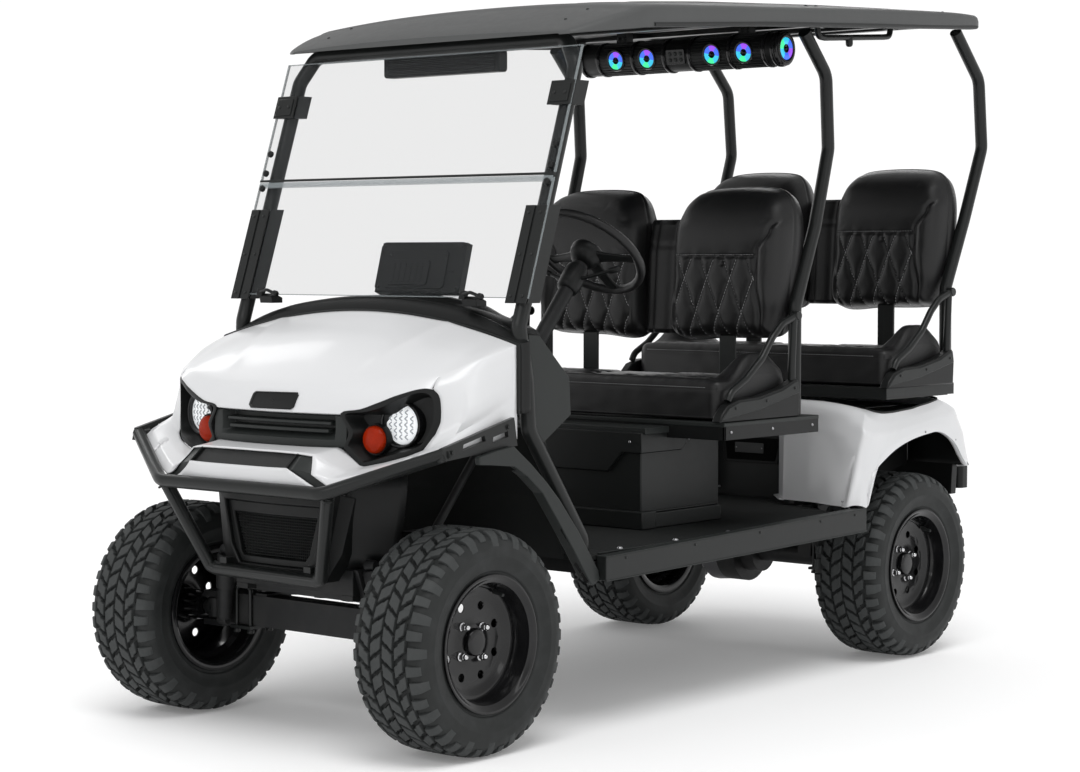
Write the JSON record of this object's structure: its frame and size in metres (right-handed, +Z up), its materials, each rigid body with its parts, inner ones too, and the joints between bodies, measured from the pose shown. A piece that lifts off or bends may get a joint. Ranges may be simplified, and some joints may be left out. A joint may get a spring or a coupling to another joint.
{
  "type": "golf cart",
  "caption": "Lifted four-seat electric golf cart with forward-facing benches, roof, fold-down windshield, brush guard and steered front wheels.",
  "frame": {"origin": "centre of the footprint box on the ground", "axes": "+Z up, nose towards -Y, driver side +X"},
  "size_m": [1.199, 2.7998, 1.996],
  "materials": {
    "white_body": "gloss",
    "roof_plastic": "satin",
    "grey_plastic": "satin",
    "black_plastic": "satin",
    "floor_mat": "ribbed matte",
    "black_steel": "satin powder coat",
    "battery_case": "matte",
    "seat_vinyl": "satin, pale diamond stitching",
    "windshield_clear": "clear",
    "lamp_lens": "clear",
    "signal_lens": "gloss",
    "tyre_rubber": "matte",
    "rim_gloss": "gloss"
  },
  "bodies": {
    "chassis": {"battery_pack": "battery_case", "brush_guard": "black_steel", "dashboard": "black_plastic", "display_screen": "black_plastic", "floor_pan": "floor_mat", "frame": "black_steel", "front_axle_beam": "black_steel", "front_cowl": "white_body", "front_fender_flares": "grey_plastic", "front_seat_backs": "seat_vinyl", "front_seat_base": "black_plastic", "front_struts": "black_steel", "grille_panel": "black_plastic", "headlights": "lamp_lens", "hip_restraints": "black_plastic", "leaf_springs": "black_steel", "leg_shields": "grey_plastic", "lower_grille": "black_plastic", "pedals": "black_steel", "rear_axle": "black_steel", "rear_body": "white_body", "rear_bumper": "black_plastic", "rear_seat_backs": "seat_vinyl", "rear_seat_base": "black_plastic", "rear_seat_cushion": "seat_vinyl", "rear_view_mirror": "black_plastic", "rocker_panels": "grey_plastic", "roof": "roof_plastic", "roof_posts": "black_steel", "signal_lamps": "signal_lens", "sound_bar": "black_plastic", "steering_column": "black_steel", "windshield": "windshield_clear"},
    "wheel_front_left": {"tyre_front_left": "tyre_rubber", "rim_front_left": "rim_gloss"},
    "wheel_front_right": {"tyre_front_right": "tyre_rubber", "rim_front_right": "rim_gloss"},
    "wheel_rear_left": {"tyre_rear_left": "tyre_rubber", "rim_rear_left": "rim_gloss"},
    "wheel_rear_right": {"tyre_rear_right": "tyre_rubber", "rim_rear_right": "rim_gloss"},
    "knuckle_left": {"knuckle_left": "black_steel"},
    "knuckle_right": {"knuckle_right": "black_steel"},
    "tie_rod": {"tie_rod": "black_steel"},
    "steering_wheel": {"steering_wheel": "black_plastic"},
    "front_seat_lid": {"front_seat_cushion": "seat_vinyl"}
  },
  "joints": [
    {"name": "steer_left", "type": "hinge", "parent": "chassis", "child": "knuckle_left", "pos_m": [0.395, -1.103, 0.2795], "axis": [0, 0, 1], "range_deg": [-28, 28]},
    {"name": "steer_right", "type": "hinge", "parent": "chassis", "child": "knuckle_right", "pos_m": [-0.395, -1.103, 0.2795], "axis": [0, 0, 1], "range_deg": [-28, 28]},
    {"name": "tie_rod_pivot", "type": "hinge", "parent": "knuckle_left", "child": "tie_rod", "pos_m": [0.395, -1.008, 0.2785], "axis": [0, 0, 1], "range_deg": [-28, 28]},
    {"name": "steering_wheel_turn", "type": "hinge", "parent": "chassis", "child": "steering_wheel", "pos_m": [0.28, -0.358, 1.228], "axis": [0, 0.6561, 0.7547], "range_deg": [-252, 252]},
    {"name": "wheel_front_left_spin", "type": "hinge", "parent": "knuckle_left", "child": "wheel_front_left", "pos_m": [0.483, -1.103, 0.2795], "axis": [1, 0, 0], "continuous": true},
    {"name": "wheel_front_right_spin", "type": "hinge", "parent": "knuckle_right", "child": "wheel_front_right", "pos_m": [-0.483, -1.103, 0.2795], "axis": [1, 0, 0], "continuous": true},
    {"name": "wheel_rear_left_spin", "type": "hinge", "parent": "chassis", "child": "wheel_rear_left", "pos_m": [0.483, 0.869, 0.2795], "axis": [1, 0, 0], "continuous": true},
    {"name": "wheel_rear_right_spin", "type": "hinge", "parent": "chassis", "child": "wheel_rear_right", "pos_m": [-0.483, 0.869, 0.2795], "axis": [1, 0, 0], "continuous": true},
    {"name": "front_seat_tilt", "type": "hinge", "parent": "chassis", "child": "front_seat_lid", "pos_m": [0, -0.027, 0.762], "axis": [1, 0, 0], "range_deg": [0, 60]}
  ],
  "couplings": [
    {"joint": "steer_right", "follows": "steer_left", "ratio": 1},
    {"joint": "tie_rod_pivot", "follows": "steer_left", "ratio": -1},
    {"joint": "steering_wheel_turn", "follows": "steer_left", "ratio": 9}
  ]
}
